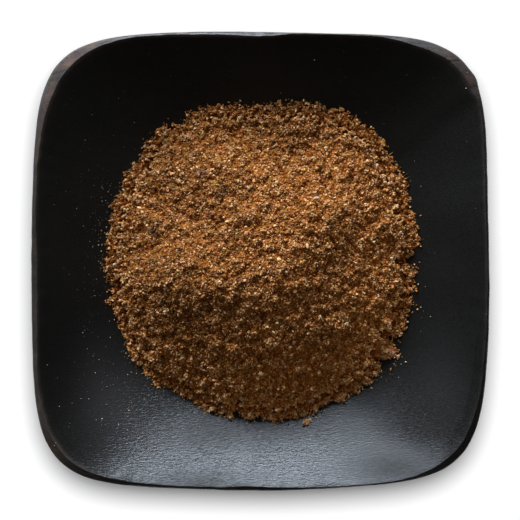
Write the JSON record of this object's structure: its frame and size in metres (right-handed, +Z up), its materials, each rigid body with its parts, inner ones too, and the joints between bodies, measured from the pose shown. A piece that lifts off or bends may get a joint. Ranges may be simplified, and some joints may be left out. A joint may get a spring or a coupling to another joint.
{
  "type": "bowl of garam masala",
  "caption": "Shallow rounded-square bowl of black-stained wood holding a low, uneven heap of coarsely ground brown spice.",
  "frame": {"origin": "on the surface the bowl stands on, under the middle of its rim outline", "axes": "+Z up, +Y towards the top edge of the picture, +X to the right of the picture"},
  "size_m": [0.127, 0.1272, 0.0348],
  "materials": {
    "stained_wood": "black stain with a thin satin coat, rubbed brown along the rim",
    "ground_spice": "dry, matte, coarse powder of mixed browns"
  },
  "bodies": {
    "root": {"bowl": "stained_wood", "garam_masala": "ground_spice"}
  },
  "joints": []
}
